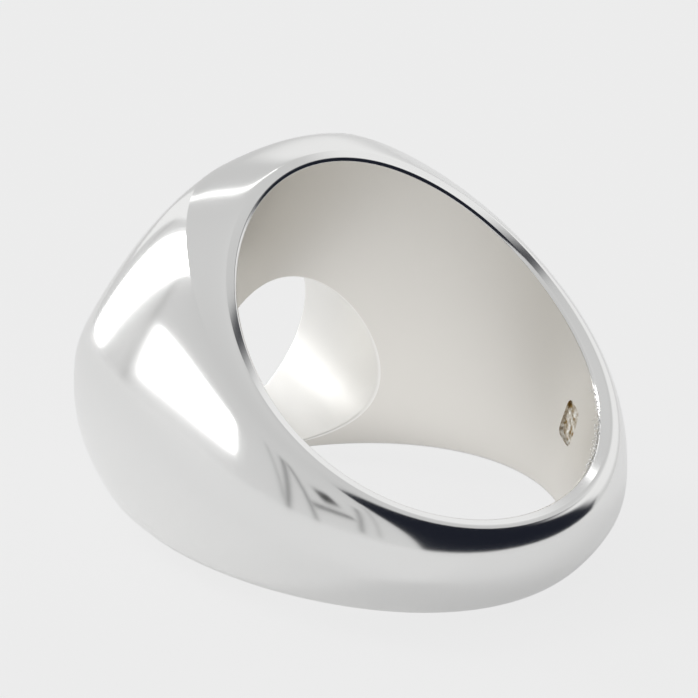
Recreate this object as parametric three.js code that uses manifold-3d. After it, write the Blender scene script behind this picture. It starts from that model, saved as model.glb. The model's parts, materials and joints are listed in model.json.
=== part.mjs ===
// A large signet ring with a flat face, a domed body and an opening through the head, made as a
// hollow form: a finger band, two flank walls, a domed body shell, a face plate and a tube that
// lines the opening. Millimetres. It is modelled about the finger bore (X towards the head,
// Z along the bore), then laid on its lower flank, +Z up, centred over its own footprint.

import * as THREE from "three";
import { mergeVertices } from "three/addons/utils/BufferGeometryUtils.js";
import Module from "manifold-3d";

// ---- driving sizes ----
const boreRadius = 9.5;
const bandWall = 0.6; // finger band
const shellWall = 0.8; // domed body shell
const flankWall = 0.8; // flank walls
const faceWall = 0.8; // face plate
const tubeWall = 0.3; // tube that lines the opening
const seam = 0.04; // solder gap between neighbouring pieces

const headHalfWidth = 9.35; // half the ring's width along the bore, at the head
const sideHalfWidth = 5.0; // the same at the two sides
const backHalfWidth = 2.45; // the same at the back of the shank

const backRise = 2.0; // from the bore to the outside, at the back of the shank
const bodyRise = 1.2; // what the body gains from the back to the head
const shoulderRise = 6.8; // what the shoulders gain over that, as they meet the face
const shoulderPower = 6.2; // how late the shoulders rise
const faceAt = 12.2; // from the bore's centre to the flat face

const rimLand = 0.56; // polished land from the bore to where the flank starts to fall away
const crownPower = 1.3; // how the section leaves the crest
const flankPower = 0.49; // how it meets the rim
const flankShare = 0.36; // share of the rise that a flank wall covers

const openingLength = 11.6; // oval opening through the head
const openingWidth = 9.1;
const openingTurn = 50; // degrees, from round the ring to the oval's length
const openingRound = -1.75; // the oval's centre, off the middle of the head
const openingAlong = -3.15; // the same, along the bore

const hollowReach = 100; // degrees each side of the head that the shoulders are hollow

const turnSteps = 72;
const outlineSteps = 12;
const ovalPoints = 20; // points on half of the oval
const mergeWithin = 1e-4; // vertices closer than this are one

const wasm = await Module();
wasm.setup();

// ---- how the section changes round the ring ----

// 1 at the head, 0 at the back of the shank.
const headShare = (angle) => (1 + Math.cos(angle)) / 2;

function riseAt(angle) {
  const share = headShare(angle);
  return backRise + bodyRise * share + shoulderRise * Math.pow(share, shoulderPower);
}

function halfWidthAt(angle) {
  const even = (headHalfWidth + backHalfWidth) / 2;
  const tilt = (headHalfWidth - backHalfWidth) / 2;
  const bend = (even - sideHalfWidth) / 2;
  return even - bend + tilt * Math.cos(angle) + bend * Math.cos(2 * angle);
}

// A point outside the ring: share is 1 at the upper rim, 0 at the crest and -1 at the lower rim.
function outsideAt(angle, share) {
  const lift = Math.pow(Math.max(1 - Math.pow(Math.abs(share), crownPower), 0), flankPower);
  const out = boreRadius + rimLand + (riseAt(angle) - rimLand) * lift;
  return new THREE.Vector2(out, share * halfWidthAt(angle));
}

// The share at which a flank wall ends and the domed shell starts.
const shellShare = Math.pow(1 - Math.pow(flankShare, 1 / flankPower), 1 / crownPower);

// ---- meshes and solids ----

function solidOf(vertices, faces) {
  const made = new wasm.Manifold(
    new wasm.Mesh({
      numProp: 3,
      vertProperties: new Float32Array(vertices),
      triVerts: new Uint32Array(faces),
    }),
  );
  if (made.volume() >= 0) return made;
  const turned = [];
  for (let i = 0; i < faces.length; i += 3) turned.push(faces[i], faces[i + 2], faces[i + 1]);
  return solidOf(vertices, turned);
}

function solidFromGeometry(geometry) {
  const bare = geometry.clone();
  bare.deleteAttribute("normal");
  bare.deleteAttribute("uv");
  const merged = mergeVertices(bare, mergeWithin);
  return solidOf(merged.attributes.position.array, merged.index.array);
}

// A solid swept round the bore from a section of (out, up) points: all the way round, or over
// so many degrees each side of the head, with its two ends closed.
function sweptSolid(sectionAt, reach = 180) {
  const whole = reach === 180;
  const steps = whole ? turnSteps : Math.round((turnSteps * reach) / 180);
  const stations = whole ? steps : steps + 1;
  const from = THREE.MathUtils.degToRad(-reach);
  const turn = THREE.MathUtils.degToRad(2 * reach);
  const vertices = [];
  const faces = [];
  for (let i = 0; i < stations; i++) {
    const angle = from + (turn * i) / steps;
    for (const p of sectionAt(angle)) {
      vertices.push(p.x * Math.cos(angle), p.x * Math.sin(angle), p.y);
    }
  }
  const section = sectionAt(from);
  const count = section.length;
  for (let i = 0; i < steps; i++) {
    const here = i * count;
    const next = ((i + 1) % stations) * count;
    for (let k = 0; k < count; k++) {
      const l = (k + 1) % count;
      faces.push(here + k, next + k, next + l, here + k, next + l, here + l);
    }
  }
  if (!whole) {
    const last = steps * count;
    const clockwise = THREE.ShapeUtils.isClockWise(section);
    for (const [a, b, c] of THREE.ShapeUtils.triangulateShape(section, [])) {
      if (clockwise) faces.push(a, c, b, last + a, last + b, last + c);
      else faces.push(a, b, c, last + a, last + c, last + b);
    }
  }
  return solidOf(vertices, faces);
}

// A round bar along the bore.
function bar(radius) {
  const tall = 4 * headHalfWidth;
  const cylinder = new THREE.CylinderGeometry(radius, radius, tall, 2 * turnSteps);
  cylinder.rotateX(Math.PI / 2);
  return solidFromGeometry(cylinder);
}

// All the space from one distance to another in front of the bore's centre.
function slab(from, to) {
  const wide = 8 * headHalfWidth;
  const box = new THREE.BoxGeometry(to - from, wide, wide);
  box.translate((from + to) / 2, 0, 0);
  return solidFromGeometry(box);
}

// The oval of the opening as a prism through the head, grown all round by a margin.
function ovalPrism(margin) {
  const outline = new THREE.Shape();
  outline.absellipse(0, 0, openingLength / 2 + margin, openingWidth / 2 + margin, 0, 2 * Math.PI);
  const points = outline.getPoints(ovalPoints);
  const from = boreRadius / 2;
  const prism = new THREE.ExtrudeGeometry(new THREE.Shape(points), {
    depth: faceAt,
    bevelEnabled: false,
    steps: 1,
  });
  prism.rotateZ(THREE.MathUtils.degToRad(openingTurn));
  const facingHead = new THREE.Matrix4().makeBasis(
    new THREE.Vector3(0, 1, 0),
    new THREE.Vector3(0, 0, 1),
    new THREE.Vector3(1, 0, 0),
  );
  prism.applyMatrix4(facingHead);
  prism.translate(from, openingRound, openingAlong);
  return solidFromGeometry(prism);
}

// ---- shapes that several pieces share ----

// The whole ring outside its bore, before the face is cut flat.
function ringForm() {
  return sweptSolid((angle) => {
    const w = halfWidthAt(angle);
    const points = [];
    for (let i = 0; i <= outlineSteps; i++) {
      const share = Math.sin(Math.PI * (i / outlineSteps - 0.5));
      points.push(outsideAt(angle, share));
    }
    points.push(new THREE.Vector2(boreRadius, w), new THREE.Vector2(boreRadius, -w));
    return points;
  });
}

// The space inside the head and shoulders.
function hollowForm() {
  const inner = boreRadius + bandWall / 2;
  return sweptSolid((angle) => {
    const points = [];
    const w = halfWidthAt(angle) - flankWall;
    for (let i = 0; i <= outlineSteps; i++) {
      const share = Math.sin(Math.PI * (i / outlineSteps - 0.5));
      const out = outsideAt(angle, share).x - shellWall;
      points.push(new THREE.Vector2(Math.max(out, inner + seam), share * w));
    }
    points.push(new THREE.Vector2(inner, w), new THREE.Vector2(inner, -w));
    return points;
  }, hollowReach);
}

// The zone at one rim that a flank wall fills: side is 1 above and -1 below.
function flankZone(side, margin) {
  return sweptSolid((angle) => {
    const edge = outsideAt(angle, shellShare);
    const high = side * 2 * headHalfWidth;
    const low = side * (edge.y - flankWall - margin);
    return [
      new THREE.Vector2(boreRadius / 2, low),
      new THREE.Vector2(edge.x + margin, low),
      new THREE.Vector2(edge.x + margin, high),
      new THREE.Vector2(boreRadius / 2, high),
    ];
  });
}

// ---- the pieces ----

const form = ringForm();
const opening = ovalPrism(0);
const openingInShell = ovalPrism(tubeWall + seam);
const aroundBand = bar(boreRadius + bandWall + seam);
const faceBack = faceAt - faceWall;
const behindFace = slab(-2 * boreRadius, faceBack - seam);
const outerWall = form.subtract(aroundBand).subtract(openingInShell);
const walls = outerWall.subtract(hollowForm().intersect(slab(-2 * boreRadius, faceBack)));

const fingerBand = form.intersect(bar(boreRadius + bandWall)).subtract(openingInShell);
const upperFlank = walls.intersect(flankZone(1, 0)).intersect(behindFace);
const lowerFlank = walls.intersect(flankZone(-1, 0)).intersect(behindFace);
const bodyShell = walls
  .subtract(flankZone(1, seam))
  .subtract(flankZone(-1, seam))
  .intersect(behindFace);
const facePlate = outerWall.intersect(slab(faceBack, faceAt));
const openingTube = ovalPrism(tubeWall)
  .subtract(opening)
  .subtract(bar(boreRadius))
  .intersect(slab(0, faceAt));

// ---- finishes ----

const polished = new THREE.MeshStandardMaterial({ color: 0xe9e9e6, roughness: 0.06, metalness: 1 });
const satin = new THREE.MeshStandardMaterial({ color: 0xd2cec4, roughness: 0.42, metalness: 1 });

function piece(name, solid, material) {
  const mesh = solid.getMesh();
  const geometry = new THREE.BufferGeometry();
  geometry.setAttribute("position", new THREE.BufferAttribute(mesh.vertProperties, 3));
  geometry.setIndex(new THREE.BufferAttribute(mesh.triVerts, 1));
  geometry.computeVertexNormals();
  const made = new THREE.Mesh(geometry, material);
  made.name = name;
  return made;
}

const ring = new THREE.Group();
ring.add(
  piece("finger_band", fingerBand, satin),
  piece("body_shell", bodyShell, polished),
  piece("upper_flank", upperFlank, polished),
  piece("lower_flank", lowerFlank, polished),
  piece("face_plate", facePlate, polished),
  piece("opening_tube", openingTube, polished),
);

// Laid on its lower flank: it rests at the head's rim and at the back of the shank.
const restTilt = Math.atan2(headHalfWidth - backHalfWidth, 2 * boreRadius + rimLand);
ring.rotation.y = -restTilt;
const table = new THREE.Group();
table.add(ring);
const box = new THREE.Box3().setFromObject(table, true);
ring.position.set(-(box.min.x + box.max.x) / 2, 0, -box.min.z);

export default table;
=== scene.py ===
"""A large polished silver signet ring with a flat face and an oval opening through the head.

Laid out as an add-on: the sizes and colours are properties, each piece has its operator, and a panel
in the 3D view's sidebar lists them. Lengths are in metres, in the part's own frame.
"""

import json
import math

import bmesh
import bpy
from mathutils import Matrix, Vector


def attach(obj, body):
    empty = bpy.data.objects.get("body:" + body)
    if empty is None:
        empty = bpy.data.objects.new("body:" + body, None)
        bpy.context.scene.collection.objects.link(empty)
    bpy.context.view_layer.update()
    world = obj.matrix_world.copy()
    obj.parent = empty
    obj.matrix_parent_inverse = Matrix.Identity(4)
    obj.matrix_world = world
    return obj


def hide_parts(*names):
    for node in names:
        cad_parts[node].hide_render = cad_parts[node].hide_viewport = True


bl_info = {
    "name": "Signet Ring",
    "version": (1, 0, 0),
    "blender": (4, 5, 0),
    "location": "View3D > Sidebar > Ring",
    "description": "Builds a hollow silver signet ring with an opening through its head",
    "category": "Add Mesh",
}

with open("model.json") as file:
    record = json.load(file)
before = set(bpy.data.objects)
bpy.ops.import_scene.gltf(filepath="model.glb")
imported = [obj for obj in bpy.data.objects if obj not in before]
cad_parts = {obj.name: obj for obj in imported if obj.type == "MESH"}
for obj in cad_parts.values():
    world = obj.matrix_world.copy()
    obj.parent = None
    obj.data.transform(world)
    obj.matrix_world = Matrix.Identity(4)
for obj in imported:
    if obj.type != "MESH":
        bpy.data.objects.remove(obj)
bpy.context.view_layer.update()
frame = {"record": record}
MM = 0.001
BODY = "root"
FACE = frame["record"]["mounts"][0]
FACE_POINT = Vector(FACE["pos_m"])
FACE_NORMAL = Vector(FACE["axis"])
REST_TILT = math.atan2(FACE_NORMAL.z, FACE_NORMAL.x)  # how far the head points up as the ring lies

TURN_STEPS = 432  # sections round the ring
CREST_STEPS = 96  # points over a section of the body
FLANK_STEPS = 20  # points over a flank
FILLET_STEPS = 8
OVAL_STEPS = 240  # points round the opening
HALVINGS = 40  # halvings when the flank's start is looked for

FACE_SIDE = 0.2  # the face is cut where the cosine from the head is over this
FLANK_REACH = 0.35  # how far past the sides a flank is still flattened, as a cosine
SKIN_GAP = 0.05 * MM  # from the band to the inside of the shell
HAIR = 0.002 * MM  # a step too small to see, which keeps two surfaces apart
SATIN_DEPTH = 0.004 * MM  # how far off the bore a face still counts as the bore
INNER_NARROWING = 0.97  # the inside of the shell, against the outside
MERGE_WITHIN = 1e-8  # points closer than this are one


def length(label, about, millimetres):
    """A length property, given in millimetres."""
    return bpy.props.FloatProperty(
        name=label, description=about, default=millimetres * MM, unit="LENGTH", subtype="DISTANCE")


def share(label, about, value):
    """A plain number, such as a share or a power."""
    return bpy.props.FloatProperty(name=label, description=about, default=value)


def tint(label, about, hex_code):
    """A colour property, from its sRGB hex value."""
    return bpy.props.FloatVectorProperty(
        name=label, description=about, subtype="COLOR", size=4, default=(*linear(hex_code), 1.0))


def linear(hex_code):
    """An sRGB hex value as linear red, green and blue."""
    channels = [int(hex_code[i:i + 2], 16) / 255 for i in (1, 3, 5)]
    return [c / 12.92 if c <= 0.04045 else ((c + 0.055) / 1.055) ** 2.4 for c in channels]


class RingSizes(bpy.types.PropertyGroup):
    """The ring's own sizes, about the finger bore."""

    bore_radius: length("Bore radius", "Half the finger bore", 9.5)
    band_wall: length("Band wall", "Thickness of the finger band", 0.56)
    shell_wall: length("Shell wall", "Thickness of the body shell and the flanks", 0.8)
    face_wall: length("Face wall", "Thickness of the face plate", 0.8)
    head_half_width: length("Head half width", "Half the width along the finger, at the head", 9.35)
    side_half_width: length("Side half width", "The same at the two sides", 5.0)
    back_half_width: length("Back half width", "The same at the back of the shank", 2.45)
    back_rise: length("Back rise", "From the bore to the outside, at the back", 2.0)
    body_rise: length("Body rise", "What the body gains from the back to the head", 1.2)
    shoulder_rise: length("Shoulder rise", "What the shoulders gain over that", 6.8)
    shoulder_power: share("Shoulder power", "How late the shoulders rise", 6.2)
    face_at: length("Face distance", "From the bore's centre to the flat face", 12.2)
    face_edge: length("Face edge", "How softly the face runs into the shoulders", 0.5)
    crown_power: share("Crown power", "How the section leaves the crest", 1.116)
    crown_ease: share("Crown ease", "How round the crest itself is", 0.08)
    flank_power: share("Flank power", "How the section meets the rim", 0.471)
    flank_share: share("Flank share", "Share of the rise that a flank covers", 0.36)
    flank_flat: share("Flank flatness", "How much flatter a flank is than the section", 0.8)
    bevel_drop: length("Bevel drop", "How far the rim falls from its crest to the bore", 0.17)
    bevel_width: length("Bevel width", "The bevel next to the bore", 0.12)
    bevel_round: length("Bevel round", "How softly the bevel meets the bore and the rim", 0.05)
    land_drop: length("Land drop", "How far the rim's land falls from its crest to the bevel", 0.05)
    opening_length: length("Opening length", "Long way across the oval opening", 11.6)
    opening_width: length("Opening width", "Short way across the oval opening", 9.1)
    opening_turn: bpy.props.FloatProperty(
        name="Opening turn", description="From round the ring to the oval's length",
        default=math.radians(50), unit="ROTATION", subtype="ANGLE")
    opening_round: length("Opening round", "The oval's centre, round the ring", -1.75)
    opening_along: length("Opening along", "The oval's centre, along the finger", -3.15)
    lip: length("Lip", "Width of the polished lip round the opening", 0.08)
    cartouche_length: length("Cartouche length", "The blank cartouche in the bore, along the finger", 2.3)
    cartouche_width: length("Cartouche width", "The same round the bore", 1.5)
    cartouche_depth: length("Cartouche depth", "How deep the cartouche is struck", 0.12)
    cartouche_along: length("Cartouche place", "Its centre along the finger", 0.4)
    cartouche_turn: bpy.props.FloatProperty(
        name="Cartouche turn", description="Its centre, round from the head",
        default=math.radians(-111), unit="ROTATION", subtype="ANGLE")
    grain: length("Grain", "Size of the finest grains on the rim", 0.05)


class RingFinish(bpy.types.PropertyGroup):
    """The silver's colours."""

    polish: tint("Polished silver", "Mirror polish on the outside", "#f9f8f5")
    satin: tint("Satin silver", "Worn satin inside the finger band", "#fbfaf6")
    dull: tint("Dulled satin", "The satin where it is worn less", "#cfcdc6")
    warm: tint("Warm tarnish", "The faint tarnish inside the band", "#ecd798")
    stain: tint("Stain", "Old polish and tarnish in pits and in the cartouche", "#8d7440")
    ground: tint("Ground", "The pale ground and backdrop", "#eeeeee")


def sizes():
    """The ring's sizes in the scene."""
    return bpy.context.scene.ring_sizes


def colours():
    """The ring's colours in the scene."""
    return bpy.context.scene.ring_finish


# ---- the ring's outside, about the bore: out from the axis, and up along it ----

def rise_at(turn):
    """How far the crest stands off the bore at an angle from the head."""
    s = sizes()
    head = (1 + math.cos(turn)) / 2
    return s.back_rise + s.body_rise * head + s.shoulder_rise * head ** s.shoulder_power


def half_width_at(turn):
    """Half the ring's width along the finger at an angle from the head."""
    s = sizes()
    even = (s.head_half_width + s.back_half_width) / 2
    tilt = (s.head_half_width - s.back_half_width) / 2
    bend = (even - s.side_half_width) / 2
    return even - bend + tilt * math.cos(turn) + bend * math.cos(2 * turn)


def crown_lift(across):
    """Share of the rise at a share of the half width: 1 on the crest and 0 at a rim."""
    s = sizes()
    eased = (math.hypot(across, s.crown_ease) - s.crown_ease)
    eased /= math.hypot(1, s.crown_ease) - s.crown_ease
    return max(1 - eased ** s.crown_power, 0) ** s.flank_power


def flank_start():
    """The share of the half width at which the flank meets the body."""
    low, high = 0.5, 1.0
    for _ in range(HALVINGS):
        middle = (low + high) / 2
        if crown_lift(middle) > sizes().flank_share:
            low = middle
        else:
            high = middle
    return low


def flank_flatness(turn):
    """How far a flank is flattened: most at the head, and not at all behind the sides."""
    return sizes().flank_flat * min(max(math.cos(turn) + FLANK_REACH, 0), 1)


def outside_at(turn, across, start):
    """A point of the outside as (out, up), with the face cut soft and flat."""
    s = sizes()
    lift = crown_lift(across)
    if abs(across) > start:
        chord = s.flank_share * (1 - abs(across)) / (1 - start)
        lift += (chord - lift) * flank_flatness(turn)
    out = s.bore_radius + s.band_wall + (rise_at(turn) - s.band_wall) * lift
    if math.cos(turn) > FACE_SIDE:
        over = (out * math.cos(turn) - s.face_at) / s.face_edge
        reach = s.face_at - s.face_edge * math.log1p(math.exp(-over))
        out = reach / math.cos(turn)
    return out, across * half_width_at(turn)


def spread(low, high, steps):
    """Shares of the half width from low to high, closer together towards the rims."""
    a, b = math.asin(low), math.asin(high)
    return [math.sin(a + (b - a) * i / steps) for i in range(steps + 1)]


# ---- meshes ----

def sweep(section_at):
    """Vertices and faces of a closed section of (out, up) points swept round the bore."""
    vertices, faces = [], []
    for i in range(TURN_STEPS):
        turn = 2 * math.pi * i / TURN_STEPS
        section = section_at(turn)
        vertices += [(out * math.cos(turn), out * math.sin(turn), up) for out, up in section]
    count = len(section)
    for i in range(TURN_STEPS):
        here, there = i * count, (i + 1) % TURN_STEPS * count
        for k in range(count):
            after = (k + 1) % count
            faces.append((here + k, there + k, there + after, here + after))
    return vertices, faces


def lying_matrix():
    """From the bore's frame to the part's frame: tilted on to the lower flank, on the ground."""
    s = sizes()
    tilt = Matrix.Rotation(-REST_TILT, 3, "Y")
    start = flank_start()
    lowest = 0.0
    for i in range(TURN_STEPS):
        turn = 2 * math.pi * i / TURN_STEPS
        for across in spread(-1, 0, FLANK_STEPS):
            out, up = outside_at(turn, across, start)
            lowest = min(lowest, (tilt @ Vector((out * math.cos(turn), out * math.sin(turn), up))).z)
    centre_up = -lowest
    centre_along = (FACE_POINT.dot(FACE_NORMAL) - s.face_at - centre_up * FACE_NORMAL.z) / FACE_NORMAL.x
    return Matrix.Translation((centre_along, 0, centre_up)) @ tilt.to_4x4()


def object_from(name, vertices, faces):
    """A mesh object in the bore's frame, with its doubles merged and its faces outward."""
    mesh = bpy.data.meshes.new(name)
    mesh.from_pydata(vertices, [], faces)
    made = bpy.data.objects.new(name, mesh)
    bpy.context.scene.collection.objects.link(made)
    turn_outward(made)
    return made


def turn_outward(made):
    """Merges doubles and turns the faces outward."""
    work = bmesh.new()
    work.from_mesh(made.data)
    bmesh.ops.remove_doubles(work, verts=work.verts, dist=MERGE_WITHIN)
    bmesh.ops.recalc_face_normals(work, faces=work.faces)
    work.to_mesh(made.data)
    work.free()


def cut(made, tool, operation):
    """Cuts one object with another and removes the tool."""
    step = made.modifiers.new("cut", "BOOLEAN")
    step.operation = operation
    step.solver = "EXACT"
    step.object = tool
    bpy.context.view_layer.update()
    evaluated = made.evaluated_get(bpy.context.evaluated_depsgraph_get())
    mesh = bpy.data.meshes.new_from_object(evaluated)
    made.modifiers.clear()
    made.data = mesh
    bpy.data.objects.remove(tool)
    return made


def slab(from_x, to_x):
    """All the space between two distances in front of the bore's centre."""
    wide = 4 * sizes().bore_radius
    xs, ys = (from_x, to_x), (-wide, wide)
    vertices = [(x, y, z) for x in xs for y in ys for z in ys]
    faces = [(0, 1, 3, 2), (4, 6, 7, 5), (0, 4, 5, 1), (2, 3, 7, 6), (0, 2, 6, 4), (1, 5, 7, 3)]
    return object_from("slab", vertices, faces)


def oval_point(angle, margin):
    """A point on the opening's outline, grown by a margin, as (round, along)."""
    s = sizes()
    a = (s.opening_length / 2 + margin) * math.cos(angle)
    b = (s.opening_width / 2 + margin) * math.sin(angle)
    c, d = math.cos(s.opening_turn), math.sin(s.opening_turn)
    return s.opening_round + a * c - b * d, s.opening_along + a * d + b * c


def oval_tool(margin, from_x, to_x):
    """A prism of the opening's outline."""
    vertices, faces = [], []
    for x in (from_x, to_x):
        for i in range(OVAL_STEPS):
            y, z = oval_point(2 * math.pi * i / OVAL_STEPS, margin)
            vertices.append((x, y, z))
    for i in range(OVAL_STEPS):
        j = (i + 1) % OVAL_STEPS
        faces.append((i, j, OVAL_STEPS + j, OVAL_STEPS + i))
    faces.append(tuple(range(OVAL_STEPS)))
    faces.append(tuple(range(OVAL_STEPS, 2 * OVAL_STEPS)))
    return object_from("oval", vertices, faces)


def behind_face():
    """The space from the back of the face plate outward."""
    s = sizes()
    return slab(s.face_at - s.face_wall, 2 * s.face_at)


def pierce(made):
    """Cuts the opening, and room for the tube that lines it, through a piece."""
    s = sizes()
    cut(made, oval_tool(s.lip, s.bore_radius / 2, 2 * s.bore_radius), "DIFFERENCE")


def finished(made, node, materials, sharp_from=28):
    """Lays a piece in the part's frame, smooths it, gives it its finish and ties it to its node."""
    made.data.transform(lying_matrix())
    made.name = made.data.name = node + "_fine"
    made.data.materials.clear()
    for material in materials:
        made.data.materials.append(material)
    for face in made.data.polygons:
        face.use_smooth = True
    made.data.set_sharp_from_angle(angle=math.radians(sharp_from))
    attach(made, BODY)
    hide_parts(node)
    return made


# ---- materials ----

def node(tree, kind, settings=None, **inputs):
    """Adds a node with its settings; an input is a value, or a socket to link."""
    made = tree.nodes.new(kind)
    for name, value in (settings or {}).items():
        setattr(made, name, value)
    for name, value in inputs.items():
        key = int(name[1:]) if name[0] == "_" and name[1:].isdigit() else name.replace("_", " ")
        socket = made.inputs[key]
        if isinstance(value, bpy.types.NodeSocket):
            tree.links.new(value, socket)
        else:
            socket.default_value = value
    return made


def new_material(name):
    """A material with an empty tree."""
    material = bpy.data.materials.new(name)
    material.use_nodes = True
    material.node_tree.nodes.clear()
    return material, material.node_tree


def bore_coordinates(tree, across, along):
    """Object coordinates about the bore, Z along the finger, counted in pattern sizes: the
    pattern's size across the bore and along it, in millimetres."""
    scale = (1 / (across * MM), 1 / (across * MM), 1 / (along * MM))
    place = node(tree, "ShaderNodeTexCoord")
    turned = node(tree, "ShaderNodeMapping", {"vector_type": "POINT"},
                  Vector=place.outputs["Object"], Rotation=(0, REST_TILT, 0))
    return node(tree, "ShaderNodeMapping", {"vector_type": "POINT"},
                Vector=turned.outputs[0], Scale=scale).outputs[0]


def polished_silver():
    """Sterling silver, mirror polished on a felt wheel: sharp reflections, with hairlines that
    only show as a faint softness. The hairlines' own width is far too fine to show, so their haze
    is drawn in 0.4 mm clouds, over a wheel's waviness of about 4 mm."""
    material, tree = new_material("polished_silver")
    fine = bore_coordinates(tree, 0.385, 0.385)
    haze = node(tree, "ShaderNodeTexNoise", {"noise_dimensions": "3D"},
                Vector=fine, Scale=1.0, Detail=3.0)
    rough = node(tree, "ShaderNodeMapRange", Value=haze.outputs["Fac"], _3=0.008, _4=0.028)
    wave = node(tree, "ShaderNodeTexNoise", Vector=bore_coordinates(tree, 3.85, 3.85),
                Scale=1.0, Detail=1.0)
    bump = node(tree, "ShaderNodeBump", Height=wave.outputs["Fac"], Strength=0.006, Distance=0.0002)
    shader = node(tree, "ShaderNodeBsdfPrincipled", Base_Color=colours().polish[:], Metallic=1.0,
                  Roughness=rough.outputs[0], Normal=bump.outputs[0])
    node(tree, "ShaderNodeOutputMaterial", Surface=shader.outputs[0])
    return material


def satin_silver():
    """Sterling silver brushed round the bore with fine emery and worn by a finger: soft, slightly
    warm, with fine lines that run round the bore, pits and a trace of tarnish. Emery lines are about
    0.03 mm apart, too fine to show, so they are drawn 0.19 mm apart. Pits
    are 0.1 to 0.4 mm across, about one in each 2.4 mm."""
    material, tree = new_material("satin_silver")
    lines = node(tree, "ShaderNodeTexNoise", Vector=bore_coordinates(tree, 9.1, 0.192),
                 Scale=1.0, Detail=5.0, Roughness=0.65)
    cloud = node(tree, "ShaderNodeTexNoise", Vector=bore_coordinates(tree, 6.25, 9.1),
                 Scale=1.0, Detail=2.0)
    ahead = node(tree, "ShaderNodeSeparateXYZ", _0=bore_coordinates(tree, 1.0, 1.0))
    wavy = node(tree, "ShaderNodeMath", {"operation": "MULTIPLY_ADD"}, _0=cloud.outputs["Fac"], _1=1.6,
                _2=ahead.outputs["X"])
    tone = node(tree, "ShaderNodeMapRange", Value=wavy.outputs[0], _1=8.9, _2=9.8)
    bands = node(tree, "ShaderNodeTexNoise", Vector=bore_coordinates(tree, 2.63, 25.0),
                 Scale=1.0, Detail=2.0)
    dulled = node(tree, "ShaderNodeMapRange", Value=bands.outputs["Fac"], _1=0.42, _2=0.6, _4=0.8)
    worn = node(tree, "ShaderNodeMix", {"data_type": "RGBA"}, _0=dulled.outputs[0],
                _6=colours().satin[:], _7=colours().dull[:])
    mixed = node(tree, "ShaderNodeMix", {"data_type": "RGBA"}, _0=tone.outputs[0],
                 _6=worn.outputs[2], _7=colours().warm[:])
    pits = node(tree, "ShaderNodeTexVoronoi", {"feature": "F1"},
                Vector=bore_coordinates(tree, 2.38, 2.38), Scale=1.0, Randomness=1.0)
    pit = node(tree, "ShaderNodeMapRange", Value=pits.outputs["Distance"], _1=0.03, _2=0.09,
               _3=1.0, _4=0.0)
    spotted = node(tree, "ShaderNodeMix", {"data_type": "RGBA"}, _0=pit.outputs[0],
                   _6=mixed.outputs[2], _7=colours().stain[:])
    rough = node(tree, "ShaderNodeMapRange", Value=lines.outputs["Fac"], _1=0.3, _2=0.7, _3=0.28, _4=0.44)
    along = node(tree, "ShaderNodeCombineXYZ", X=-math.sin(REST_TILT), Z=math.cos(REST_TILT))
    surface = node(tree, "ShaderNodeNewGeometry")
    brushing = node(tree, "ShaderNodeVectorMath", {"operation": "CROSS_PRODUCT"},
                    _0=along.outputs[0], _1=surface.outputs["Normal"])
    brushed = node(tree, "ShaderNodeBump", Height=lines.outputs["Fac"], Strength=0.7,
                   Distance=0.00006)
    pitted = node(tree, "ShaderNodeBump", {"invert": True}, Height=pit.outputs[0], Strength=0.6,
                  Distance=0.00005, Normal=brushed.outputs[0])
    shader = node(tree, "ShaderNodeBsdfPrincipled", Base_Color=spotted.outputs[2], Metallic=1.0,
                  Roughness=rough.outputs[0], Normal=pitted.outputs[0], Anisotropic=0.4,
                  Tangent=brushing.outputs[0])
    node(tree, "ShaderNodeOutputMaterial", Surface=shader.outputs[0])
    return material


def aged_silver():
    """Silver struck with a punch and never polished since: dull, with old tarnish in it. Its grit is
    about 0.05 mm, too fine to show, so it is drawn 0.3 mm."""
    material, tree = new_material("aged_silver")
    grit = node(tree, "ShaderNodeTexNoise", Vector=bore_coordinates(tree, 0.3125, 0.3125),
                Scale=1.0, Detail=4.0)
    tone = node(tree, "ShaderNodeMapRange", Value=grit.outputs["Fac"], _1=0.38, _2=0.62)
    mixed = node(tree, "ShaderNodeMix", {"data_type": "RGBA"}, _0=tone.outputs[0],
                 _6=colours().satin[:], _7=colours().stain[:])
    bump = node(tree, "ShaderNodeBump", Height=grit.outputs["Fac"], Strength=0.8, Distance=0.0001)
    shader = node(tree, "ShaderNodeBsdfPrincipled", Base_Color=mixed.outputs[2], Metallic=1.0,
                  Roughness=0.35, Normal=bump.outputs[0])
    node(tree, "ShaderNodeOutputMaterial", Surface=shader.outputs[0])
    return material


def drawn_silver():
    """Silver tube polished only with a small buff: bright, but with a faint orange peel of about
    0.7 mm."""
    material, tree = new_material("drawn_silver")
    peel = node(tree, "ShaderNodeTexNoise", Vector=bore_coordinates(tree, 0.667, 0.667),
                Scale=1.0, Detail=3.0)
    rough = node(tree, "ShaderNodeMapRange", Value=peel.outputs["Fac"], _3=0.42, _4=0.58)
    bump = node(tree, "ShaderNodeBump", Height=peel.outputs["Fac"], Strength=0.12, Distance=0.0001)
    shader = node(tree, "ShaderNodeBsdfPrincipled", Base_Color=colours().polish[:], Metallic=1.0,
                  Roughness=rough.outputs[0], Normal=bump.outputs[0])
    node(tree, "ShaderNodeOutputMaterial", Surface=shader.outputs[0])
    return material


def material_named(name):
    """A material of the ring, made when it is first asked for."""
    makers = {"polished_silver": polished_silver, "satin_silver": satin_silver,
              "aged_silver": aged_silver, "drawn_silver": drawn_silver}
    return bpy.data.materials.get(name) or makers[name]()


# ---- the pieces ----

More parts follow.
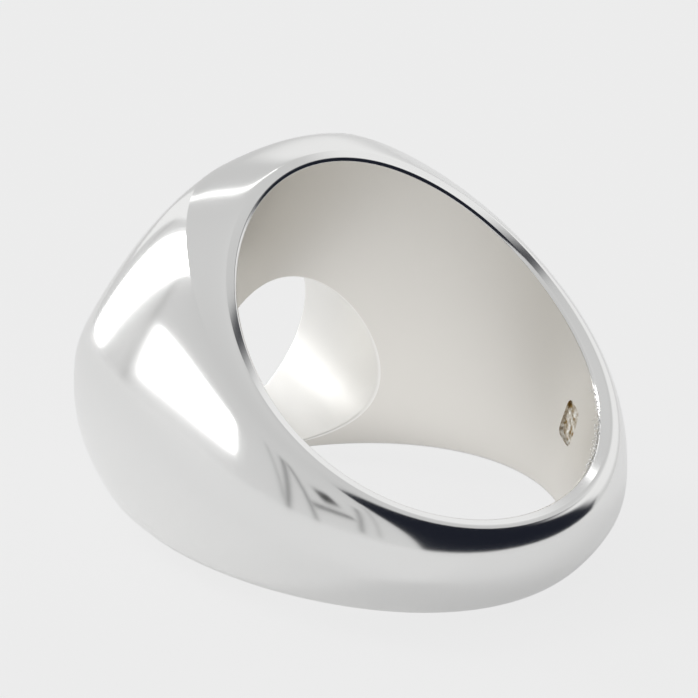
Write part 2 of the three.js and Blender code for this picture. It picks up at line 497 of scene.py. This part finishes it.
def band_section(turn):
    """The finger band: straight in the bore, with a polished bevel at each rim."""
    s = sizes()
    w = half_width_at(turn)
    inner = Vector((s.bore_radius, w - s.bevel_drop))
    outer = Vector((s.bore_radius + s.bevel_width, w - s.land_drop))
    crest = Vector((s.bore_radius + s.band_wall, w))
    below = inner - Vector((0, s.bevel_drop))
    rim = []
    for start, corner, end in ((below, inner, outer), (inner, outer, crest)):
        enter = corner - (corner - start).normalized() * s.bevel_round
        leave = corner + (end - corner).normalized() * s.bevel_round
        for i in range(FILLET_STEPS + 1):
            t = i / FILLET_STEPS
            rim.append(enter * (1 - t) ** 2 + corner * 2 * t * (1 - t) + leave * t ** 2)
    rim.append(crest)
    return [(out, -up) for out, up in reversed(rim)] + [tuple(point) for point in rim]


CARTOUCHE_STEPS = 48
CARTOUCHE_SQUARENESS = 0.4  # 1 is an oval, and less is squarer
CARTOUCHE_TAPER = 0.9  # its floor, against its outline


def cartouche_tool():
    """A soft-cornered block that strikes the blank cartouche into the bore."""
    s = sizes()
    out = Vector((math.cos(s.cartouche_turn), math.sin(s.cartouche_turn), 0))
    round_bore = Vector((-out.y, out.x, 0))
    steps, square = CARTOUCHE_STEPS, CARTOUCHE_SQUARENESS
    vertices, faces = [], []
    ends = ((s.bore_radius * 0.8, 1.0), (s.bore_radius + s.cartouche_depth, CARTOUCHE_TAPER))
    for reach, scale in ends:
        for i in range(steps):
            a = 2 * math.pi * i / steps
            x = math.copysign(abs(math.cos(a)) ** square, math.cos(a)) * s.cartouche_width / 2
            y = math.copysign(abs(math.sin(a)) ** square, math.sin(a)) * s.cartouche_length / 2
            point = out * reach + round_bore * x * scale
            vertices.append((point.x, point.y, s.cartouche_along + y * scale))
    for i in range(steps):
        j = (i + 1) % steps
        faces.append((i, j, steps + j, steps + i))
    faces += [tuple(range(steps)), tuple(range(steps, 2 * steps))]
    return object_from("cartouche", vertices, faces)


def band_face_kind(centre):
    """Which finish a face of the band has: 0 satin, 1 polished, 2 aged in the cartouche."""
    s = sizes()
    if math.hypot(centre.x, centre.y) < s.bore_radius + SATIN_DEPTH:
        return 0
    middle = Vector((math.cos(s.cartouche_turn), math.sin(s.cartouche_turn), 0)) * s.bore_radius
    middle.z = s.cartouche_along
    return 2 if (centre - middle).length < s.cartouche_length * 0.7 else 1


class RING_OT_finger_band(bpy.types.Operator):
    """Makes the satin finger band, with its rounded rims and the hole for the opening"""

    bl_idname = "ring.finger_band"
    bl_label = "Finger Band"

    def execute(self, context):
        """Sweeps the band, cuts the opening through it and polishes its rims."""
        made = object_from("band", *sweep(band_section))
        pierce(made)
        cut(made, cartouche_tool(), "DIFFERENCE")
        kinds = [band_face_kind(face.center) for face in made.data.polygons]
        finished(made, "finger_band",
                 [material_named(name) for name in ("satin_silver", "polished_silver", "aged_silver")])
        for face, kind in zip(made.data.polygons, kinds):
            face.material_index = kind
        return {"FINISHED"}


def shell_section(turn, start):
    """The body between the flanks: the outside, and the same a wall's thickness in."""
    s = sizes()
    outer = [outside_at(turn, across, start) for across in spread(-start, start, CREST_STEPS)]
    floor = s.bore_radius + s.band_wall + SKIN_GAP
    inner = [(max(out - s.shell_wall, floor), up * INNER_NARROWING) for out, up in outer]
    return outer + inner[::-1]


class RING_OT_body_shell(bpy.types.Operator):
    """Makes the domed skin of the shank, the shoulders and the head, up to the face plate"""

    bl_idname = "ring.body_shell"
    bl_label = "Body Shell"

    def execute(self, context):
        """Sweeps the shell, stops it behind the face plate and cuts the opening."""
        start = flank_start()
        made = object_from("shell", *sweep(lambda turn: shell_section(turn, start)))
        cut(made, behind_face(), "DIFFERENCE")
        pierce(made)
        finished(made, "body_shell", [material_named("polished_silver")])
        return {"FINISHED"}


def flank_section(turn, side, start):
    """A flank: from the rim's crest out to where the body starts, and a wall's thickness in."""
    s = sizes()
    outer = [outside_at(turn, side * across, start) for across in spread(start, 1, FLANK_STEPS)]
    deep = min(s.shell_wall, half_width_at(turn) / 2)
    inner = [(out, up - side * deep) for out, up in outer]
    return outer + inner[::-1]


class RING_OT_flanks(bpy.types.Operator):
    """Makes the two flank walls between the rims and the body"""

    bl_idname = "ring.flanks"
    bl_label = "Flanks"

    def execute(self, context):
        """Sweeps each flank, stops it behind the face plate and cuts the opening."""
        start = flank_start()
        for name, side in (("upper_flank", 1), ("lower_flank", -1)):
            made = object_from(name, *sweep(lambda turn: flank_section(turn, side, start)))
            cut(made, behind_face(), "DIFFERENCE")
            pierce(made)
            finished(made, name, [material_named("polished_silver")])
        return {"FINISHED"}


def whole_section(turn, start):
    """The whole outside over a section, closed just outside the band."""
    s = sizes()
    points = [outside_at(turn, -across, start) for across in spread(start, 1, FLANK_STEPS)][::-1]
    points += [outside_at(turn, across, start) for across in spread(-start, start, CREST_STEPS)][1:-1]
    points += [outside_at(turn, across, start) for across in spread(start, 1, FLANK_STEPS)]
    return points


class RING_OT_face_plate(bpy.types.Operator):
    """Makes the flat signet face with the opening cut in it"""

    bl_idname = "ring.face_plate"
    bl_label = "Face Plate"

    def execute(self, context):
        """Takes the front of the whole form and cuts the opening."""
        start = flank_start()
        made = object_from("plate", *sweep(lambda turn: whole_section(turn, start)))
        cut(made, behind_face(), "INTERSECT")
        pierce(made)
        finished(made, "face_plate", [material_named("polished_silver")])
        return {"FINISHED"}


class RING_OT_opening_tube(bpy.types.Operator):
    """Makes the polished tube that lines the opening, with a rounded lip at each end"""

    bl_idname = "ring.opening_tube"
    bl_label = "Opening Tube"

    def execute(self, context):
        """Rolls the tube's wall round the oval, from the bore to the face."""
        s = sizes()
        start = flank_start()
        vertices, faces = [], []
        for i in range(OVAL_STEPS):
            angle = 2 * math.pi * i / OVAL_STEPS
            loop = []
            for k in range(FILLET_STEPS + 1):
                a = math.pi / 2 * k / FILLET_STEPS
                loop.append((s.lip * (1 - math.sin(a)), s.lip * (1 - math.cos(a)), 0))
            for k in range(FILLET_STEPS + 1):
                a = math.pi / 2 * k / FILLET_STEPS
                loop.append((s.lip * (1 - math.cos(a)), s.lip * (1 - math.sin(a)), 1))
            for margin, depth, end in loop:
                y, z = oval_point(angle, margin)
                if end:
                    turn = math.atan2(y, s.face_at)
                    out = outside_at(turn, z / half_width_at(turn), start)[0]
                    vertices.append((out * math.cos(turn) - HAIR - depth, y, z))
                else:
                    vertices.append((math.sqrt(s.bore_radius ** 2 - y * y) + HAIR + depth, y, z))
            count = len(loop)
        for i in range(OVAL_STEPS):
            here, there = i * count, (i + 1) % OVAL_STEPS * count
            for k in range(count):
                after = (k + 1) % count
                faces.append((here + k, there + k, there + after, here + after))
        made = object_from("tube", vertices, faces)
        finished(made, "opening_tube", [material_named("drawn_silver")], 60)
        return {"FINISHED"}


def grain_tree():
    """A tree that strews fine grains along an edge: count, size, scatter and a fixed seed."""
    tree = bpy.data.node_groups.new("rim_grains", "GeometryNodeTree")
    face = tree.interface
    face.new_socket("Geometry", in_out="INPUT", socket_type="NodeSocketGeometry")
    for label, kind, value in (("Count", "NodeSocketInt", 150), ("Size", "NodeSocketFloat", 0.05 * MM),
                               ("Scatter", "NodeSocketFloat", 0.16 * MM), ("Seed", "NodeSocketInt", 4),
                               ("Material", "NodeSocketMaterial", None)):
        socket = face.new_socket(label, in_out="INPUT", socket_type=kind)
        if value is not None:
            socket.default_value = value
    face.new_socket("Geometry", in_out="OUTPUT", socket_type="NodeSocketGeometry")
    given = node(tree, "NodeGroupInput").outputs
    line = node(tree, "GeometryNodeMeshToCurve", Mesh=given["Geometry"])
    even = node(tree, "GeometryNodeResampleCurve", Curve=line.outputs[0], Count=given["Count"])
    points = node(tree, "GeometryNodeCurveToPoints", {"mode": "EVALUATED"}, Curve=even.outputs[0])
    spread_out = node(tree, "ShaderNodeMath", {"operation": "MULTIPLY"}, _0=given["Scatter"], _1=-1.0)
    high = node(tree, "ShaderNodeCombineXYZ", X=given["Scatter"], Y=given["Scatter"], Z=given["Scatter"])
    low = node(tree, "ShaderNodeCombineXYZ", X=spread_out.outputs[0], Y=spread_out.outputs[0],
               Z=spread_out.outputs[0])
    jitter = node(tree, "FunctionNodeRandomValue", {"data_type": "FLOAT_VECTOR"},
                  _0=low.outputs[0], _1=high.outputs[0], Seed=given["Seed"])
    moved = node(tree, "GeometryNodeSetPosition", Geometry=points.outputs[0],
                 Offset=jitter.outputs[0])
    bead = node(tree, "GeometryNodeMeshIcoSphere", Radius=given["Size"], Subdivisions=2)
    scale = node(tree, "FunctionNodeRandomValue", {"data_type": "FLOAT"}, _2=0.4, _3=1.1,
                 Seed=given["Seed"])
    placed = node(tree, "GeometryNodeInstanceOnPoints", Points=moved.outputs[0],
                  Instance=bead.outputs[0], Scale=scale.outputs[1])
    real = node(tree, "GeometryNodeRealizeInstances", Geometry=placed.outputs[0])
    made = node(tree, "GeometryNodeSetMaterial", Geometry=real.outputs[0], Material=given["Material"])
    node(tree, "NodeGroupOutput", Geometry=made.outputs[0])
    return tree


GRAINS_FROM, GRAINS_TURN = -118, -32  # degrees from the head, and how far on
GRAINS_STEPS = 60
GRAINS_OUT = 0.03 * MM  # off the bore


class RING_OT_rim_grains(bpy.types.Operator):
    """Makes the fine grains of silver that the file left along the rim's inner edge"""

    bl_idname = "ring.rim_grains"
    bl_label = "Rim Grains"

    def execute(self, context):
        """Strews the grains along the inner edge of the upper rim, at the far side of the shank."""
        s = sizes()
        steps = GRAINS_STEPS
        vertices = []
        for i in range(steps + 1):
            turn = math.radians(GRAINS_FROM + GRAINS_TURN * i / steps)
            out = s.bore_radius + GRAINS_OUT
            vertices.append((out * math.cos(turn), out * math.sin(turn),
                             half_width_at(turn) - s.bevel_drop - s.bevel_round / 2))
        mesh = bpy.data.meshes.new("grain_line")
        mesh.from_pydata(vertices, [(i, i + 1) for i in range(steps)], [])
        line = bpy.data.objects.new("grain_line", mesh)
        context.scene.collection.objects.link(line)
        step = line.modifiers.new("grains", "NODES")
        step.node_group = grain_tree()
        inputs = {item.name: item.identifier for item in step.node_group.interface.items_tree
                  if item.in_out == "INPUT"}
        step[inputs["Size"]] = s.grain
        step[inputs["Material"]] = material_named("polished_silver")
        context.view_layer.update()
        evaluated = line.evaluated_get(context.evaluated_depsgraph_get())
        made = bpy.data.meshes.new_from_object(evaluated)
        line.modifiers.clear()
        line.data = made
        line.data.transform(lying_matrix())
        line.name = line.data.name = "rim_grains"
        for face in line.data.polygons:
            face.use_smooth = True
        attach(line, BODY)
        return {"FINISHED"}


# ---- the stage ----

CAMERA_AWAY = Vector((0.4889, -0.6635, -0.5663))  # from the camera to the ring, about the bore
CAMERA_RIGHT = Vector((-0.6525, -0.7091, 0.2674))
CAMERA_DISTANCE = 1.5
SENSOR_WIDTH = 36  # of the camera, in millimetres
PICTURE_WIDTH = 698
SHOWN_PER_MM = 21.06  # steps of the picture's width that a millimetre of the ring covers
AIM_LEFT, AIM_UP = 1.866 * MM, 3.988 * MM  # where the camera aims, from the bore's centre


def patch(tree, direction, towards, half_wide, half_tall, turn, soft):
    """A rectangle on the sky as a mask: its centre's azimuth and elevation, and its half sizes."""
    az, el = (math.radians(x) for x in towards)
    middle = Vector((math.cos(el) * math.cos(az), math.cos(el) * math.sin(az), math.sin(el)))
    right = Vector((-math.sin(az), math.cos(az), 0))
    up = middle.cross(right) * -1
    up = up if up.z > 0 else -up
    a = math.radians(turn)
    across = right * math.cos(a) + up * math.sin(a)
    along = up * math.cos(a) - right * math.sin(a)
    ahead = node(tree, "ShaderNodeVectorMath", {"operation": "DOT_PRODUCT"}, _0=direction, _1=middle)
    masks = []
    for axis, half in ((across, half_wide), (along, half_tall)):
        over = node(tree, "ShaderNodeVectorMath", {"operation": "DOT_PRODUCT"}, _0=direction, _1=axis)
        ratio = node(tree, "ShaderNodeMath", {"operation": "DIVIDE"},
                     _0=over.outputs["Value"], _1=ahead.outputs["Value"])
        size = node(tree, "ShaderNodeMath", {"operation": "ABSOLUTE"}, _0=ratio.outputs[0])
        edge = math.tan(math.radians(half))
        masks.append(node(tree, "ShaderNodeMapRange", {"interpolation_type": "SMOOTHSTEP"},
                          Value=size.outputs[0], _1=edge - soft, _2=edge + soft, _3=1.0, _4=0.0))
    front = node(tree, "ShaderNodeMath", {"operation": "GREATER_THAN"},
                 _0=ahead.outputs["Value"], _1=0.05)
    both = node(tree, "ShaderNodeMath", {"operation": "MULTIPLY"},
                _0=masks[0].outputs[0], _1=masks[1].outputs[0])
    return node(tree, "ShaderNodeMath", {"operation": "MULTIPLY"},
                _0=both.outputs[0], _1=front.outputs[0]).outputs[0]


def grey(level):
    """A neutral colour of a given brightness."""
    return (level, level, level, 1.0)


# The room that the silver shows: towards (azimuth, elevation), half sizes in degrees, turn, softness,
# brightness.
ROOM = [
    ((205, 18), 45, 36, 0, 0.02, (0.012, 0.014, 0.022, 1)),  # the dark room behind the camera
    ((22, 28), 7, 27, -8, 0.0015, grey(6.0)),  # a tall window
    ((57, 8), 19, 6.0, 0, 0.0015, grey(4.0)),  # a low window
    ((34.5, 25), 0.5, 27, 0, 0.001, grey(0.2)),  # the bar between them
    ((126, 11), 4.5, 3.6, 20, 0.03, grey(0.02)),  # the lens
    ((126, 2), 10, 1.2, 8, 0.008, grey(0.08)),  # the stand's arms and legs
    ((113, 6), 0.8, 14, 12, 0.006, grey(0.12)),
    ((104, 4), 1.2, 16, -10, 0.008, grey(0.18)),
    ((99, 8), 0.5, 12, 6, 0.004, grey(0.25)),
    ((140, 6), 1.0, 12, -14, 0.008, grey(0.2)),
    ((148, 10), 0.6, 16, -10, 0.006, grey(0.35)),
    ((-82, 24), 34, 20, 0, 0.12, grey(0.86)),  # a pale wall at the far side
    ((-25, 56), 24, 0.9, -6, 0.006, grey(2.5)),  # a slit of light overhead
    ((2, 40), 0.5, 22, 14, 0.004, grey(0.4)),  # the window's frame
    ((-8, 30), 9, 22, -6, 0.01, grey(0.9)),  # a pale curtain beside it
]


WALL_TONE, WALL_FALL = 0.66, -0.08  # the walls at eye level, and what they gain up to the zenith
ZENITH_GAIN, ZENITH_POWER = 0.1, 8.0


def build_world():
    """A pale room with a dark side behind the camera and two windows. The camera itself sees a
    plain ground tone in its place, so the room shows only in the silver."""
    world = bpy.data.worlds.new("studio")
    bpy.context.scene.world = world
    world.use_nodes = True
    tree = world.node_tree
    tree.nodes.clear()
    direction = node(tree, "ShaderNodeTexCoord").outputs["Generated"]
    height = node(tree, "ShaderNodeSeparateXYZ", _0=direction).outputs["Z"]
    overhead = node(tree, "ShaderNodeMath", {"operation": "POWER", "use_clamp": True}, _0=height,
                    _1=ZENITH_POWER)
    walls = node(tree, "ShaderNodeMath", {"operation": "MULTIPLY_ADD"}, _0=height,
                 _1=WALL_FALL, _2=WALL_TONE)
    base = node(tree, "ShaderNodeMath", {"operation": "MULTIPLY_ADD"}, _0=overhead.outputs[0],
                _1=ZENITH_GAIN,
                _2=walls.outputs[0])
    colour = node(tree, "ShaderNodeCombineColor", _0=base.outputs[0], _1=base.outputs[0],
                  _2=base.outputs[0]).outputs[0]
    for towards, wide, tall, turn, soft, shade in ROOM:
        mask = patch(tree, direction, towards, wide, tall, turn, soft)
        colour = node(tree, "ShaderNodeMix", {"data_type": "RGBA"}, _0=mask, _6=colour,
                      _7=shade).outputs[2]
    seen = node(tree, "ShaderNodeLightPath").outputs["Is Camera Ray"]
    colour = node(tree, "ShaderNodeMix", {"data_type": "RGBA"}, _0=seen, _6=colour,
                  _7=colours().ground[:]).outputs[2]
    shown = node(tree, "ShaderNodeBackground", Color=colour, Strength=1.0)
    node(tree, "ShaderNodeOutputWorld", Surface=shown.outputs[0])


PATCH_FROM, PATCH_TO = 7.0 * MM, 9.0 * MM  # where the bright patch on the card fades out
CARD_LIT = 0.92  # share of the card's own tone that the camera sees, over its shaded tone
CARD_SHOWN, PATCH_SHOWN, PATCH_STRENGTH = 0.42, 0.85, 1.25  # what the silver sees instead


def ground_material():
    """Matt white card, lit evenly: mostly its own flat tone, with a trace of soft shadow. The
    silver sees it darker than the camera does, with a bright patch inside the ring, which stands
    in for light that falls through the bore."""
    material, tree = new_material("pale_card")
    matt = node(tree, "ShaderNodeBsdfDiffuse", Color=grey(0.88))
    lit = node(tree, "ShaderNodeEmission", Color=colours().ground[:], Strength=1.0)
    seen = node(tree, "ShaderNodeLightPath").outputs["Is Camera Ray"]
    place = node(tree, "ShaderNodeTexCoord").outputs["Object"]
    away = node(tree, "ShaderNodeVectorMath", {"operation": "LENGTH"}, _0=place).outputs["Value"]
    inside = node(tree, "ShaderNodeMapRange", Value=away, _1=PATCH_FROM, _2=PATCH_TO,
                  _3=PATCH_SHOWN, _4=CARD_SHOWN)
    bright = node(tree, "ShaderNodeMapRange", Value=away, _1=PATCH_FROM, _2=PATCH_TO,
                  _3=PATCH_STRENGTH, _4=1.0)
    even = node(tree, "ShaderNodeMapRange", Value=seen, _3=inside.outputs[0], _4=CARD_LIT)
    strength = node(tree, "ShaderNodeMapRange", Value=seen, _3=bright.outputs[0], _4=1.0)
    tree.links.new(strength.outputs[0], lit.inputs["Strength"])
    both = node(tree, "ShaderNodeMixShader", _0=even.outputs[0], _1=matt.outputs[0], _2=lit.outputs[0])
    node(tree, "ShaderNodeOutputMaterial", Surface=both.outputs[0])
    return material


# The card's corners: azimuth in degrees and distance from the ring. Its near edge lies close in
# front of the ring, where the silver shows the dark room beyond it.
CARD = [(95, 0.075), (135, 0.05), (195, 0.04), (235, 0.05), (270, 0.12), (310, 0.5), (350, 0.6),
        (20, 0.5), (60, 0.25)]


def card_corner(azimuth, distance):
    """A corner of the card, level with the ring's lowest point."""
    a = math.radians(azimuth)
    return distance * math.cos(a), distance * math.sin(a), -HAIR


class RING_OT_stage(bpy.types.Operator):
    """Sets the camera, the pale ground and the soft studio light"""

    bl_idname = "ring.stage"
    bl_label = "Stage"

    def execute(self, context):
        """Builds the stage round the ring."""
        scene = context.scene
        scene.view_settings.view_transform = "Standard"
        ground = object_from("ground", [card_corner(*corner) for corner in CARD],
                             [tuple(range(len(CARD)))])
        ground.data.materials.append(ground_material())
        build_world()
        lying = lying_matrix()
        turn = lying.to_3x3()
        away = (turn @ CAMERA_AWAY).normalized()
        right = (turn @ CAMERA_RIGHT)
        right = (right - away * right.dot(away)).normalized()
        down = away.cross(right)
        aim = lying.translation - right * AIM_LEFT - down * AIM_UP
        data = bpy.data.cameras.new("camera")
        data.sensor_width = SENSOR_WIDTH
        data.lens = SENSOR_WIDTH * SHOWN_PER_MM * CAMERA_DISTANCE / MM / PICTURE_WIDTH
        data.clip_start = 0.01
        data.clip_end = 20
        camera = bpy.data.objects.new("camera", data)
        scene.collection.objects.link(camera)
        basis = Matrix((right, -down, -away)).transposed()
        camera.matrix_world = Matrix.Translation(aim - away * CAMERA_DISTANCE) @ basis.to_4x4()
        scene.camera = camera
        return {"FINISHED"}


class RING_PT_panel(bpy.types.Panel):
    """Lists the ring's pieces and sizes"""

    bl_idname = "RING_PT_panel"
    bl_label = "Signet Ring"
    bl_space_type = "VIEW_3D"
    bl_region_type = "UI"
    bl_category = "Ring"

    def draw(self, context):
        """Draws the operators, then the sizes and the colours."""
        for operator in OPERATORS:
            self.layout.operator(operator.bl_idname)
        for group in (context.scene.ring_sizes, context.scene.ring_finish):
            for name in group.__annotations__:
                self.layout.prop(group, name)


OPERATORS = [
    RING_OT_stage,
    RING_OT_finger_band,
    RING_OT_body_shell,
    RING_OT_flanks,
    RING_OT_face_plate,
    RING_OT_opening_tube,
    RING_OT_rim_grains,
]
CLASSES = [RingSizes, RingFinish, *OPERATORS, RING_PT_panel]


def register():
    """Registers the classes and their properties."""
    for cls in CLASSES:
        bpy.utils.register_class(cls)
    bpy.types.Scene.ring_sizes = bpy.props.PointerProperty(type=RingSizes)
    bpy.types.Scene.ring_finish = bpy.props.PointerProperty(type=RingFinish)


def unregister():
    """Removes what register added."""
    del bpy.types.Scene.ring_sizes
    del bpy.types.Scene.ring_finish
    for cls in reversed(CLASSES):
        bpy.utils.unregister_class(cls)


def main():
    """Builds the whole ring."""
    register()
    bpy.ops.ring.stage()
    bpy.ops.ring.finger_band()
    bpy.ops.ring.body_shell()
    bpy.ops.ring.flanks()
    bpy.ops.ring.face_plate()
    bpy.ops.ring.opening_tube()
    bpy.ops.ring.rim_grains()


if __name__ == "__main__":
    main()
